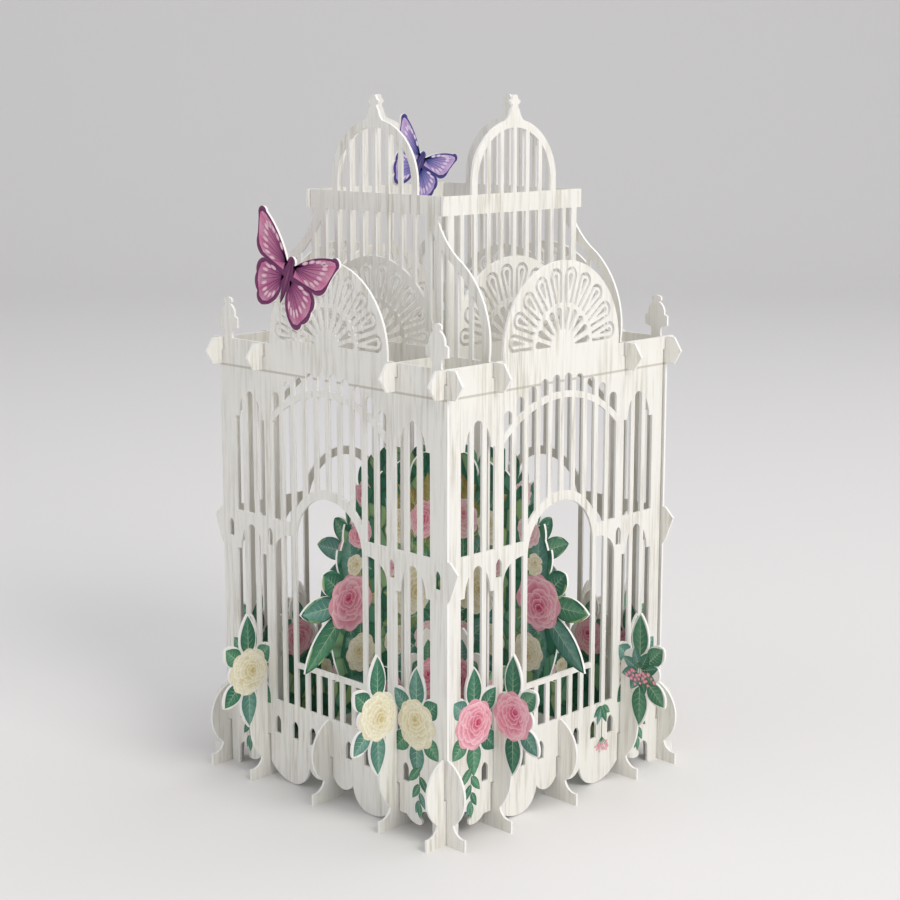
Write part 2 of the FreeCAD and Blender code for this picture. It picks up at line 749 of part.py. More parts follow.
def tower_slots(long_frame):
    slots = inner_slots(long_frame, SPRAY_TOP, HEDGE_TOP)
    slots += pair(CORNER_PLACE, UNDER_CORNICE, TAB_UP)
    if long_frame:
        slots += pair(TOWER_PLACE, TAB_DOWN, ABOVE_CORNICE)
    else:
        slots += pair(TOWER_PLACE, UNDER_CORNICE, TAB_UP)
    return slots


def make_panel(label, long_panel, place_text, outline, flowers, slots):
    # One die-cut panel: the pierced outline, the flowers cut with it, and its slots.
    plane = "XZ_Plane" if long_panel else "YZ_Plane"
    body = doc.addObject("PartDesign::Body", label)
    body.Label = label
    sketch = add_sketch(body, label + "_outline", plane, place_text, outline)
    add_pad(body, label + "_card", sketch, "dims.board")
    for i, edges in enumerate(flowers):
        sketch = add_sketch(body, "%s_flowers%d" % (label, i), plane, place_text, edges)
        add_pad(body, "%s_spray%d" % (label, i), sketch, "dims.board")
    doc.recompute()
    before = body.Shape.Volume
    sketch = slot_sketch(body, label + "_slot_lines", plane, place_text, slots)
    pocket = body.newObject("PartDesign::Pocket", label + "_slots")
    pocket.Profile = sketch
    pocket.Midplane = True
    pocket.setExpression("Length", "dims.board * 4")
    doc.recompute()
    if body.Shape.Volume >= before:
        raise RuntimeError("slots cut nothing in " + label)
    return body


def make_mirror(label, source, normal):
    copy = doc.addObject("Part::Mirroring", label)
    copy.Label = label
    copy.Source = source
    copy.Base = FreeCAD.Vector(0, 0, 0)
    copy.Normal = normal
    return copy


def butterfly_outline(span):
    # Half outline from tail to head, mirrored: hind wing, fore wing, head.
    def at(across, up):
        return (across * span, up * span)

    steps = [at(0.022, -0.17) + at(0.03, -0.1),
             at(0.07, -0.25) + at(0.17, -0.335),
             at(0.235, -0.34) + at(0.275, -0.27),
             at(0.325, -0.22) + at(0.335, -0.14),
             at(0.345, -0.05) + at(0.285, 0.005),
             at(0.37, 0.02) + at(0.425, 0.10),
             at(0.445, 0.20) + at(0.485, 0.30),
             at(0.47, 0.345) + at(0.40, 0.335),
             at(0.21, 0.24) + at(0.04, 0.09),
             at(0.035, 0.13) + at(0, 0.15)]
    return whole(at(0, -0.24), steps)


def make_butterfly(label, plane, span, thickness_text, offset_text, reverse):
    body = doc.addObject("PartDesign::Body", label)
    body.Label = label
    sketch = add_sketch(body, label + "_outline", plane, offset_text, butterfly_outline(span))
    pad = add_pad(body, label + "_card", sketch, thickness_text, middle=False)
    pad.Reversed = reverse
    return body


# Leaf tips round each spray, counted from the panel's outer side upwards
EAR_TIPS = [0, 0.6, 1.3, 0, 0, 0, 1.25, 0.75]
INNER_TIPS = [0, 0.4, 0.9, 0, 0, 0, 0, 0]
BOUQUET_TIPS = [0.72, 0.4, 0.95, 0, 0, 0, 1.1, 1.15]
LOW_TIPS = [0, 0.3, 0.6, 0, 0, 0, 0, 0]
BAY_TIPS = [0, 0.5, 1.15, 0.65, 0, 0.7, 1.0, 0.6]

BOUQUET = size("bouquet_radius")
BAY_X = (PILASTER_OUT + POST_IN) / 2 + 1.5
# An inner bloom's edge lies in the tower slot, so that the slot leaves no loose piece of it.
INNER_X = TOWER - SLOT * 0.2365 + BLOOM

WALL_TEXT = "dims.cage_width / 2"
FRAME_TEXT = "dims.tower_spacing / 2"

ear_flowers = spray_pair(EAR_X, EAR_Z, EAR, EAR_TIPS)
inner_flowers = spray_pair(INNER_X, size("hedge_height") + BLOOM * 0.7, BLOOM, INNER_TIPS)
bay_flowers = spray_pair(BAY_X, PLINTH + BLOOM * 0.95, BLOOM, BAY_TIPS)
bouquet_x = HALF - BOUQUET * 0.85
bouquet_z = RAIL_TOP[0] + BOUQUET * 2.2
bouquets = spray_pair(bouquet_x, bouquet_z, BOUQUET, BOUQUET_TIPS, "bouquet_leaf")
low_flowers = spray_pair(INNER_X, size("hedge_height") + BLOOM * 0.9, BLOOM, LOW_TIPS)

nodes = []
front_wall = make_panel("front_wall", True, WALL_TEXT, wall_outline(True) + wall_holes(True),
                        [bay_flowers], wall_slots(True))
right_wall = make_panel("right_wall", False, WALL_TEXT, wall_outline(False) + wall_holes(False),
                        [bay_flowers], wall_slots(False))
front_tower = make_panel("front_tower_frame", True, FRAME_TEXT, tower_outline(True) + tower_holes(True),
                         [ear_flowers + inner_flowers], tower_slots(True))
right_tower = make_panel("right_tower_frame", False, FRAME_TEXT, tower_outline(False) + tower_holes(False),
                         [ear_flowers + inner_flowers], tower_slots(False))
centre_long = make_panel("centre_bouquet_long", True, "0", centre_outline(),
                         [low_flowers, bouquets], inner_slots(True, ABOVE_RAIL, BUSH_TOP))
centre_cross = make_panel("centre_bouquet_cross", False, "0", centre_outline(),
                          [low_flowers, bouquets], inner_slots(False, ABOVE_RAIL, BUSH_TOP))
nodes += [front_wall, right_wall, front_tower, right_tower, centre_long, centre_cross]

along_y = FreeCAD.Vector(0, 1, 0)
along_x = FreeCAD.Vector(1, 0, 0)
nodes.append(make_mirror("back_wall", front_wall, along_y))
nodes.append(make_mirror("left_wall", right_wall, along_x))
nodes.append(make_mirror("back_tower_frame", front_tower, along_y))
nodes.append(make_mirror("left_tower_frame", right_tower, along_x))

# The butterflies lie flat on the card that they are stuck to.
pink = make_butterfly("pink_butterfly", "XZ_Plane", size("moth_span"), "dims.board",
                      "dims.cage_width / 2 + dims.board / 2", False)
rim_turn = math.radians(128)
rim_mid = size("fan_radius")
pink.Placement = FreeCAD.Placement(
    FreeCAD.Vector(rim_mid * math.cos(rim_turn), 0, FAN_CENTRE + rim_mid * math.sin(rim_turn)),
    FreeCAD.Rotation(FreeCAD.Vector(0, 1, 0), 23))
blue = make_butterfly("blue_butterfly", "YZ_Plane", size("small_moth_span"), "dims.board",
                      "-dims.tower_spacing / 2 + dims.board / 2", False)
blue.Placement = FreeCAD.Placement(
    FreeCAD.Vector(0, size("dome_radius") - size("dome_band") / 2, DOME_CENTRE + 3.2),
    FreeCAD.Rotation(FreeCAD.Vector(1, 0, 0), -30))
nodes += [pink, blue]
doc.recompute()

# Nothing is written unless every object and every sub-part is sound.
for item in doc.Objects:
    if "Invalid" in item.State or "Error" in item.State:
        raise RuntimeError("failed: " + item.Label)
for node in nodes:
    if node.Shape.isNull() or not node.Shape.isValid():
        raise RuntimeError("bad shape: " + node.Label)
    if len(node.Shape.Solids) != 1:
        raise RuntimeError("%s has %d solids" % (node.Label, len(node.Shape.Solids)))

os.makedirs("parts", exist_ok=True)
for node in nodes:
    node.Shape.exportStep("parts/%s.step" % node.Label)
    box = node.Shape.BoundBox
    print("%s: %.1f x %.1f x %.1f mm, %.0f mm3" % (node.Label, box.XLength, box.YLength,
                                                   box.ZLength, node.Shape.Volume))
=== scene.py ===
import bpy
import bmesh
import math
import random
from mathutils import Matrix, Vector


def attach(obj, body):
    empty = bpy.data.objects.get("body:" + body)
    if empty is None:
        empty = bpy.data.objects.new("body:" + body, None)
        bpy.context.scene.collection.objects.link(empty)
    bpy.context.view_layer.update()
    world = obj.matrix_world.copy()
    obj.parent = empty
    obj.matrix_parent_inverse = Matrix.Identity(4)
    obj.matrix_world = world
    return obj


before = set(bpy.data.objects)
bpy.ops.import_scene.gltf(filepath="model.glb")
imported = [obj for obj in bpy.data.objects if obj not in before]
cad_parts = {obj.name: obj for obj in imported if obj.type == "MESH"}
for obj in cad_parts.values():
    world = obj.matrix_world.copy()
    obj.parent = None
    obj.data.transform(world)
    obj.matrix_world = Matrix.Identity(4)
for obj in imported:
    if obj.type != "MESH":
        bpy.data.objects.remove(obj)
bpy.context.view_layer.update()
scene = bpy.context.scene
rng = random.Random(11)

# Sizes in millimetres, as in the CAD model
MM = 0.001
BOARD = 0.8
HALF = 50.0
TOWER = 30.0
SLOT_TURN = math.radians(25)
SLOT_CLEARANCE = 0.19
SLOT = BOARD / math.tan(SLOT_TURN) + 2 * SLOT_CLEARANCE
CORNER_POST = 5.9
PLINTH = 26.5
RAIL_TOP = 41.25
HEDGE = 38.0
FAN_CENTRE = 143.25
FAN_RADIUS = 26.5
DOME_CENTRE = 192.25
DOME_RADIUS = 18.9
DOME_BAND = 2.5
BLOOM = 8.2
EAR = 8.0
BOUQUET = 9.6
LEAF_REACH = 8.5
BOUQUET_LEAF = 15.0
BUSH_HALF = 46.0
BUSH_HEIGHT = 61.0
BUSH_SWELL = 0.62
MOTH_SPAN = 41.0
SMALL_MOTH_SPAN = 31.0
LAYER = 0.02    # lift of one layer of ink over the next
BOTH_SIDES = (-1, 1)

# Panels: which way each one lies, and the place of its middle plane
PANELS = {
    "front_wall": ("long", -HALF),
    "back_wall": ("long", HALF),
    "right_wall": ("cross", HALF),
    "left_wall": ("cross", -HALF),
    "front_tower_frame": ("long", -TOWER),
    "back_tower_frame": ("long", TOWER),
    "right_tower_frame": ("cross", TOWER),
    "left_tower_frame": ("cross", -TOWER),
    "centre_bouquet_long": ("long", 0.0),
    "centre_bouquet_cross": ("cross", 0.0),
}


def srgb(r, g, b):
    return tuple(((c + 0.055) / 1.055) ** 2.4 if c > 0.04 else c / 12.92 for c in (r, g, b))


def mix(a, b, t):
    return tuple(x + (y - x) * t for x, y in zip(a, b))


# Print colours: deep, middle, pale
PINK = (srgb(0.74, 0.14, 0.33), srgb(0.93, 0.47, 0.60), srgb(0.99, 0.85, 0.87))
CREAM = (srgb(0.80, 0.71, 0.44), srgb(0.935, 0.895, 0.74), srgb(0.985, 0.97, 0.90))
BLUSH = (srgb(0.84, 0.46, 0.55), srgb(0.94, 0.70, 0.74), srgb(0.99, 0.91, 0.91))
LEAVES = [
    (srgb(0.17, 0.40, 0.31), srgb(0.35, 0.58, 0.47)),
    (srgb(0.22, 0.46, 0.34), srgb(0.46, 0.67, 0.54)),
    (srgb(0.26, 0.47, 0.43), srgb(0.53, 0.71, 0.65)),
]
OLIVE = (srgb(0.50, 0.45, 0.22), srgb(0.78, 0.71, 0.46))
FRESH = (srgb(0.36, 0.50, 0.28), srgb(0.64, 0.74, 0.50))
VEIN = srgb(0.70, 0.81, 0.68)
STEM = srgb(0.30, 0.48, 0.34)

# Card colours
WHITEWASH = srgb(0.935, 0.928, 0.903)
BARE_WOOD = srgb(0.74, 0.71, 0.64)
STREAK_STRENGTH = 0.78
CUT_EDGE = srgb(0.965, 0.96, 0.95)
# Colour and strength of a thin painted shade line under the cornice band
CORNICE_SHADE_COLOUR = srgb(0.66, 0.63, 0.57)
CORNICE_SHADE_STRENGTH = 0.55

# Zones on a card, in metres: low and high ends, half width, and how soft the ends are. Some hold painted
# shade.
# Painted shade: a thin darker line at the foot of the cornice band, where the band's shade would fall
CORNICE_SHADE = (0.1329, 0.1336)
CORNICE_SHADE_EDGE = 0.0002
# The towers' printed hedge runs down behind the plinth to 9.5 mm: below the plinth top its dark green, seen
# through the slits and under the scallops, is painted shade.
TOWER_GREEN_AND_SHADE = (0.0095, 0.0405, 0.0445)
CENTRE_GREEN = (0.0265, 0.2, None)
GREEN_EDGE = 0.0004
SEED_STEP = 7.3

# Sockets of a colour mix node, and the space between nodes in the editor
MIX_INPUTS = (0, 6, 7)
MIX_OUTPUT = 2
NODE_STEP = 220


# Materials
def node(tree, kind, **settings):
    made = tree.nodes.new(kind)
    made.location = (NODE_STEP * len(tree.nodes), 0)
    for key, value in settings.items():
        setattr(made, key, value)
    return made


def feed(tree, socket, value):
    # The value is a number, a colour or another node's output.
    if isinstance(value, bpy.types.NodeSocket):
        tree.links.new(value, socket)
    elif isinstance(value, tuple):
        socket.default_value = (*value, 1.0)
    else:
        socket.default_value = value


def arithmetic(tree, operation, *values):
    made = node(tree, "ShaderNodeMath", operation=operation)
    for socket, value in zip(made.inputs, values):
        feed(tree, socket, value)
    return made.outputs[0]


def mix_colours(tree, share, first, second, blend="MIX"):
    made = node(tree, "ShaderNodeMix", data_type="RGBA", blend_type=blend)
    for index, value in zip(MIX_INPUTS, (share, first, second)):
        feed(tree, made.inputs[index], value)
    return made.outputs[MIX_OUTPUT]


def ramp(tree, value, stops):
    made = node(tree, "ShaderNodeValToRGB")
    elements = made.color_ramp.elements
    while len(elements) < len(stops):
        elements.new(0.5)
    for element, (place, colour) in zip(elements, stops):
        element.position = place
        element.color = (*colour, 1.0)
    tree.links.new(value, made.inputs["Fac"])
    return made.outputs["Color"]


def cloud(tree, vector, scale, detail=2.0, roughness=0.5):
    made = node(tree, "ShaderNodeTexNoise")
    for title, value in (("Vector", vector), ("Scale", scale), ("Detail", detail), ("Roughness", roughness)):
        feed(tree, made.inputs[title], value)
    return made.outputs["Fac"]


def add_bump(tree, shader, height, strength, distance):
    made = node(tree, "ShaderNodeBump")
    for title, value in (("Height", height), ("Strength", strength), ("Distance", distance)):
        feed(tree, made.inputs[title], value)
    tree.links.new(made.outputs["Normal"], shader.inputs["Normal"])


def grey(v):
    return (v, v, v)


def start_group(name, outputs):
    # A node group that takes a place along the panel, a height and a seed.
    group = bpy.data.node_groups.new(name, "ShaderNodeTree")
    for title in ("Along", "Up", "Seed"):
        group.interface.new_socket(title, in_out="INPUT", socket_type="NodeSocketFloat")
    for title, kind in outputs:
        group.interface.new_socket(title, in_out="OUTPUT", socket_type=kind)
    return group, node(group, "NodeGroupInput"), node(group, "NodeGroupOutput")


def stretched(tree, entry, along, up):
    # A vector from the panel's own coordinates, with its own stretch each way.
    joined = node(tree, "ShaderNodeCombineXYZ")
    tree.links.new(arithmetic(tree, "MULTIPLY", entry.outputs["Along"], along), joined.inputs["X"])
    tree.links.new(arithmetic(tree, "MULTIPLY", entry.outputs["Up"], up), joined.inputs["Y"])
    tree.links.new(entry.outputs["Seed"], joined.inputs["Z"])
    return joined.outputs["Vector"]


def make_grain_group():
    # Whitewashed wood: fine upright streaks that come and go in wide patches.
    tree, entry, leave = start_group("whitewash_grain", (("Colour", "NodeSocketColor"),
                                                         ("Streak", "NodeSocketFloat")))
    fine = cloud(tree, stretched(tree, entry, 820.0, 46.0), 1.0, detail=5.0, roughness=0.62)
    wide = cloud(tree, stretched(tree, entry, 60.0, 34.0), 1.0, detail=3.0)
    sharp = ramp(tree, fine, [(0.46, grey(0)), (0.66, grey(1))])
    area = ramp(tree, wide, [(0.38, grey(0.15)), (0.68, grey(1))])
    streak = arithmetic(tree, "MULTIPLY", sharp, area)
    soft = arithmetic(tree, "MULTIPLY", streak, STREAK_STRENGTH)
    tree.links.new(mix_colours(tree, soft, WHITEWASH, BARE_WOOD), leave.inputs["Colour"])
    tree.links.new(streak, leave.inputs["Streak"])
    return tree


def make_foliage_group():
    # Printed undergrowth: leaf-like cells in several greens with darker rims.
    tree, entry, leave = start_group("printed_foliage", (("Colour", "NodeSocketColor"),))
    place = stretched(tree, entry, 260.0, 170.0)
    cells = node(tree, "ShaderNodeTexVoronoi", feature="F1")
    edges = node(tree, "ShaderNodeTexVoronoi", feature="DISTANCE_TO_EDGE")
    for made in (cells, edges):
        feed(tree, made.inputs["Vector"], place)
        feed(tree, made.inputs["Scale"], 1.0)
    part = node(tree, "ShaderNodeSeparateColor")
    tree.links.new(cells.outputs["Color"], part.inputs["Color"])
    greens = ramp(tree, part.outputs["Red"], [(0.0, LEAVES[0][0]), (0.4, LEAVES[1][0]), (0.7, LEAVES[0][1]),
                                              (1.0, FRESH[1])])
    rim = ramp(tree, edges.outputs["Distance"], [(0.0, grey(0.55)), (0.12, grey(1.0))])
    tree.links.new(mix_colours(tree, 1.0, greens, rim, "MULTIPLY"), leave.inputs["Colour"])
    return tree


GRAIN = make_grain_group()
FOLIAGE = make_foliage_group()


def start_material(name):
    material = bpy.data.materials.new(name)
    material.use_nodes = True
    shader = material.node_tree.nodes["Principled BSDF"]
    shader.inputs["Roughness"].default_value = 0.62
    shader.inputs["Specular IOR Level"].default_value = 0.35
    return material, material.node_tree, shader


def zone_mask(tree, value, low, high, edge):
    # 1 where the value is between low and high, with soft ends.
    masks = []
    for place, ends in ((low, (0.0, 1.0)), (high, (1.0, 0.0))):
        made = node(tree, "ShaderNodeMapRange", interpolation_type="SMOOTHSTEP")
        for title, number in (("Value", value), ("From Min", place - edge), ("From Max", place + edge),
                              ("To Min", ends[0]), ("To Max", ends[1])):
            feed(tree, made.inputs[title], number)
        masks.append(made.outputs["Result"])
    return arithmetic(tree, "MULTIPLY", *masks)


def facing_mask(tree, coords, axis):
    # 1 on the two broad faces of a card, 0 on its cut edges.
    facing = node(tree, "ShaderNodeSeparateXYZ")
    tree.links.new(coords.outputs["Normal"], facing.inputs["Vector"])
    size = arithmetic(tree, "ABSOLUTE", facing.outputs[axis])
    return arithmetic(tree, "GREATER_THAN", size, 0.5)


def add_pattern(tree, group, along, up, seed):
    made = node(tree, "ShaderNodeGroup", node_tree=group)
    for title, value in (("Along", along), ("Up", up), ("Seed", seed)):
        feed(tree, made.inputs[title], value)
    return made


def make_card(name, family, seed, green=None, cornice_shade=False):
    # Printed card: whitewash on the faces, an optional painted shade line under the cornice, an optional
    # planted zone, white on the cut edges.
    material, tree, shader = start_material(name)
    coords = node(tree, "ShaderNodeTexCoord")
    split = node(tree, "ShaderNodeSeparateXYZ")
    tree.links.new(coords.outputs["Object"], split.inputs["Vector"])
    along = split.outputs["X" if family == "long" else "Y"]
    up = split.outputs["Z"]
    grain = add_pattern(tree, GRAIN, along, up, seed)
    colour = grain.outputs["Colour"]
    # Painted shade: darken a thin line under the cornice band
    if cornice_shade:
        cornice_shade_mask = zone_mask(tree, up, *CORNICE_SHADE, CORNICE_SHADE_EDGE)
        colour = mix_colours(tree, arithmetic(tree, "MULTIPLY", cornice_shade_mask, CORNICE_SHADE_STRENGTH), colour, CORNICE_SHADE_COLOUR)
    if green:
        low, high, half = green
        plants = add_pattern(tree, FOLIAGE, along, up, seed)
        zone = zone_mask(tree, up, low, high, GREEN_EDGE)
        if half:
            zone = arithmetic(tree, "MULTIPLY", zone, zone_mask(tree, along, -half, half, GREEN_EDGE))
        colour = mix_colours(tree, zone, colour, plants.outputs["Colour"])
    face = facing_mask(tree, coords, "Y" if family == "long" else "X")
    tree.links.new(mix_colours(tree, face, CUT_EDGE, colour), shader.inputs["Base Color"])
    add_bump(tree, shader, grain.outputs["Streak"], 0.12, 0.0002)
    return material


def make_print():
    # Ink on card: the mesh's own colours with a little paper tooth.
    material, tree, shader = start_material("botanical_print")
    ink = node(tree, "ShaderNodeVertexColor", layer_name="ink")
    coords = node(tree, "ShaderNodeTexCoord")
    paper = cloud(tree, coords.outputs["Object"], 1400.0, detail=3.0)
    tooth = ramp(tree, paper, [(0.3, grey(0.84)), (0.7, grey(1.0))])
    inked = mix_colours(tree, 1.0, ink.outputs["Color"], tooth, "MULTIPLY")
    tree.links.new(inked, shader.inputs["Base Color"])
    add_bump(tree, shader, paper, 0.08, 0.0001)
    return material


def make_wing_card(name, axis, face_colour):
    # Butterfly card: dark print to the rim on the faces, white on the cut edges.
    material, tree, shader = start_material(name)
    coords = node(tree, "ShaderNodeTexCoord")
    paper = cloud(tree, coords.outputs["Object"], 900.0)
    tone = ramp(tree, paper, [(0.3, mix(face_colour, grey(0), 0.25)), (0.7, face_colour)])
    face = facing_mask(tree, coords, axis)
    tree.links.new(mix_colours(tree, face, CUT_EDGE, tone), shader.inputs["Base Color"])
    return material


def dress(name, material):
    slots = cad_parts[name].data.materials
    slots.clear()
    slots.append(material)


PRINT = make_print()
for order, (name, (family, plane)) in enumerate(PANELS.items()):
    seed = order * SEED_STEP
    if "wall" in name:
        dress(name, make_card(name + "_card", family, seed, cornice_shade=True))
    elif "tower" in name:
        # The green zone here is the printed hedge, and behind the plinth it is painted shade.
        dress(name, make_card(name + "_card", family, seed, green=TOWER_GREEN_AND_SHADE, cornice_shade=True))
    else:
        dress(name, make_card(name + "_card", family, seed, green=CENTRE_GREEN))
dress("pink_butterfly", make_wing_card("pink_butterfly_card", "Y", srgb(0.50, 0.24, 0.42)))
dress("blue_butterfly", make_wing_card("blue_butterfly_card", "X", srgb(0.30, 0.28, 0.56)))


# Proportions of the printed plants
PETAL_ROOT = 0.9
PETAL_RINGS = [(7, 1.0), (7, 0.86), (6, 0.72), (6, 0.58), (5, 0.45), (4, 0.33), (3, 0.2)]
PETAL_STEPS = 8
HEART_DRIFT = 0.045
LEAF_STEPS = 9
LEAF_VEINS = 5
VEIN_LIFT = 0.4
BUD_STEMS = 7
BUD_SPREAD = 0.26
BUD_PLACES = (0.62, 0.82, 1.0)
ROUND = 10
STEM_HALF = 0.16


# Prints: thin inked skins just proud of both faces of a panel
class Skin:
    def __init__(self, name, body, place, slot):
        self.name = name
        self.body = body
        self.place = place
        self.slot = slot
        self.mesh = bmesh.new()
        self.ink = self.mesh.loops.layers.float_color.new("ink")

    def face(self, points, colours, layer):
        for side in BOTH_SIDES:
            verts = [self.mesh.verts.new(Vector(self.place(u, z, side, layer)) * MM) for u, z in points]
            made = self.mesh.faces.new(verts)
            made.normal_update()
            out = Vector(self.place(0, 0, side, 1)) - Vector(self.place(0, 0, side, 0))
            if made.normal.dot(out) < 0:
                made.normal_flip()
            lookup = dict(zip(verts, colours))
            for loop in made.loops:
                loop[self.ink] = (*lookup[loop.vert], 1.0)

    def fan(self, centre, middle, points, colours, layer):
        count = len(points)
        for i in range(count):
            j = (i + 1) % count
            self.face([centre, points[i], points[j]], [middle, colours[i], colours[j]], layer)

    def build(self):
        data = bpy.data.meshes.new(self.name)
        self.mesh.to_mesh(data)
        self.mesh.free()
        made = bpy.data.objects.new(self.name, data)
        scene.collection.objects.link(made)
        data.materials.append(PRINT)
        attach(made, self.body)


def proud(layer):
    # Distance of a layer of ink from the card's middle plane.
    return BOARD / 2 + LAYER * (1 + layer)


def panel_place(family, plane):
    def place(u, z, side, layer):
        off = plane + side * proud(layer)
        return (u, off, z) if family == "long" else (off, u, z)
    return place


def turned(centre, distance, angle):
    return (centre[0] + distance * math.cos(angle), centre[1] + distance * math.sin(angle))


def curve_through(a, b, c, count=5):
    # Points of a smooth curve from a through b to c, without a itself.
    bend = (2 * b[0] - (a[0] + c[0]) / 2, 2 * b[1] - (a[1] + c[1]) / 2)
    points = []
    for i in range(1, count + 1):
        t = i / count
        w0, w1, w2 = (1 - t) ** 2, 2 * t * (1 - t), t * t
        points.append((w0 * a[0] + w1 * bend[0] + w2 * c[0], w0 * a[1] + w1 * bend[1] + w2 * c[1]))
    return points


def petal_outline(centre, radius, count, flip):
    # The cut outline of a bloom's round petals, as in the CAD model.
    sector = 2 * math.pi / count
    root = radius * PETAL_ROOT

    def polar(distance, angle):
        return turned(centre, distance, math.pi - angle if flip else angle)

    here = polar(root, -sector / 2)
    points = []
    for i in range(count):
        angle = i * sector
        end = polar(root, angle + sector / 2)
        points += curve_through(here, polar(radius, angle), end)
        here = end
    return points


def leaf(skin, root, angle, length, width, layer, shades):
    # A pointed leaf in two tones with a pale midrib and side veins.
    ca, sa = math.cos(angle), math.sin(angle)

    def at(along, across):
        return (root[0] + along * ca - across * sa, root[1] + along * sa + across * ca)

    dark, light = shades
    for side, base in ((1, light), (-1, mix(dark, light, 0.45))):
        for i in range(LEAF_STEPS):
            t0, t1 = i / LEAF_STEPS, (i + 1) / LEAF_STEPS
            w0 = side * width / 2 * leaf_width(t0)
            w1 = side * width / 2 * leaf_width(t1)
            points = [at(t0 * length, 0), at(t1 * length, 0), at(t1 * length, w1), at(t0 * length, w0)]
            inner = mix(dark, base, 0.45 + 0.55 * t0)
            outer = mix(inner, dark, 0.45 if i % 2 else 0.7)
            colours = [inner, inner, outer, outer]
            # The first and last pieces are triangles.
            if i == 0:
                points.pop(3)
                colours.pop(3)
            elif i == LEAF_STEPS - 1:
                points.pop(2)
                colours.pop(2)
            skin.face(points, colours, layer)
    rib = width * 0.028
    skin.face([at(0, -rib), at(length * 0.95, 0), at(0, rib)], [VEIN] * 3, layer + VEIN_LIFT)
    for k in range(LEAF_VEINS):
        t = 0.16 + 0.14 * k
        for side in BOTH_SIDES:
            reach = width / 2 * leaf_width(min(t + 0.16, 1.0)) * 0.85
            tip = at((t + 0.15) * length, side * reach)
            skin.face([at(t * length - rib * 0.8, 0), at(t * length + rib * 0.8, 0), tip],
                      [mix(VEIN, light, 0.55)] * 3, layer + VEIN_LIFT)


def leaf_width(t):
    return math.sin(math.pi * min(t, 1.0) ** 0.8) ** 0.9


def within(share):
    return min(max(share, 0), 1)


def bloom(skin, centre, radius, palette, layer):
    # A full rose: rings of ruffled, overlapping petals that close in towards an off-centre heart.
    # Each petal has a layer of its own.
    deep, middle, pale = palette
    lean = rng.random() * 2 * math.pi
    for k, (count, share) in enumerate(PETAL_RINGS):
        shift = rng.random() * math.pi
        drift = radius * HEART_DRIFT * k
        heart = turned(centre, drift, lean)
        for i in range(count):
            angle = shift + 2 * math.pi * i / count + rng.uniform(-0.22, 0.22)
            reach = radius * share * rng.uniform(0.86, 1.0) - drift * 0.5
            half = math.pi / count * rng.uniform(1.15, 1.5)
            tone = rng.uniform(-0.16, 0.16)
            rim = mix(pale, middle, within(0.05 + 0.09 * k + tone))
            body = mix(middle, deep, within(0.02 + 0.08 * k + tone * 0.8))
            skew = rng.uniform(-0.16, 0.16)
            dip = rng.uniform(0.02, 0.14)
            base = turned(heart, reach * 0.1, angle)
            rows = [[], [], []]
            for s in range(PETAL_STEPS + 1):
                t = 2 * s / PETAL_STEPS - 1
                wave = min(1 - 0.3 * t * t + skew * t - dip * math.cos(t * 3.4) * 0.8, 1.0)
                rows[0].append(turned(heart, reach * wave * 0.5, angle + half * t * 0.85))
                rows[1].append(turned(heart, reach * wave * 0.86, angle + half * t * 0.97))
                rows[2].append(turned(heart, reach * wave, angle + half * t))
            at_layer = layer + k * 1.1 + i * 0.14
            shades = [mix(body, deep, 0.55), mix(body, rim, 0.45), mix(rim, pale, 0.6)]
            for s in range(PETAL_STEPS):
                skin.face([base, rows[0][s], rows[0][s + 1]], [deep, shades[0], shades[0]], at_layer)
                for a in (0, 1):
                    skin.face([rows[a][s], rows[a + 1][s], rows[a + 1][s + 1], rows[a][s + 1]],
                              [shades[a], shades[a + 1], shades[a + 1], shades[a]], at_layer)


def bud_spray(skin, centre, radius, palette, layer):
    # A hanging fan of thin stems with small round buds.
    u, z = centre
    for k in range(BUD_STEMS):
        angle = -math.pi / 2 + (k - BUD_STEMS // 2) * BUD_SPREAD
        reach = radius * rng.uniform(0.75, 1.0)
        tip = turned(centre, reach, angle)
        du, dz = -math.sin(angle) * STEM_HALF, math.cos(angle) * STEM_HALF
        skin.face([(u + du, z + dz), tip, (u - du, z - dz)], [STEM] * 3, layer + k * 0.1)
        for step, share in enumerate(BUD_PLACES):
            spot = turned(centre, reach * share, angle + rng.uniform(-0.12, 0.12))
            size = radius * rng.uniform(0.06, 0.09)
            ring = [turned(spot, size, a * 2 * math.pi / ROUND) for a in range(ROUND)]
            skin.fan(spot, palette[2], ring, [palette[1]] * ROUND, layer + 1 + k * 0.2 + step * 0.05)


def spray(skin, u, z, radius, tips, palette, leaf_reach=LEAF_REACH, scale=0.97, buds=False):
    # Leaves printed on the cut leaf shapes, with a bloom or a fan of buds in the middle.
    flip = u < 0
    centre = (u, z)
    sector = 2 * math.pi / len(tips)
    width = 2 * radius * PETAL_ROOT * math.sin(sector / 2) * 1.14 * scale
    start = radius * 0.62
    for i, tip in enumerate(tips):
        if not tip:
            continue
        angle = i * sector
        if flip:
            angle = math.pi - angle
        reach = (radius + leaf_reach * tip) * scale
        leaf(skin, turned(centre, start, angle), angle, reach - start, width, 1 + (i % 3) * 0.5,
             rng.choice(LEAVES))
    if buds:
        for k in range(8):
            angle = k * math.pi / 4 + 0.3
            root = turned(centre, radius * 0.1, angle)
            leaf(skin, root, angle, radius * 0.86, radius * 0.5, 2 + (k % 3) * 0.5, rng.choice(LEAVES))
        bud_spray(skin, (u, z + radius * 0.4), radius * 1.05, palette, 5)
        return
    lobes = petal_outline(centre, radius, len(tips), flip)
    lobes = [(u + (p[0] - u) * scale, z + (p[1] - z) * scale) for p in lobes]
    back = mix(palette[1], palette[0], 0.3)
    skin.fan(centre, back, lobes, [mix(back, palette[2], 0.5)] * len(lobes), 3.4)
    bloom(skin, centre, radius * scale, palette, 4)


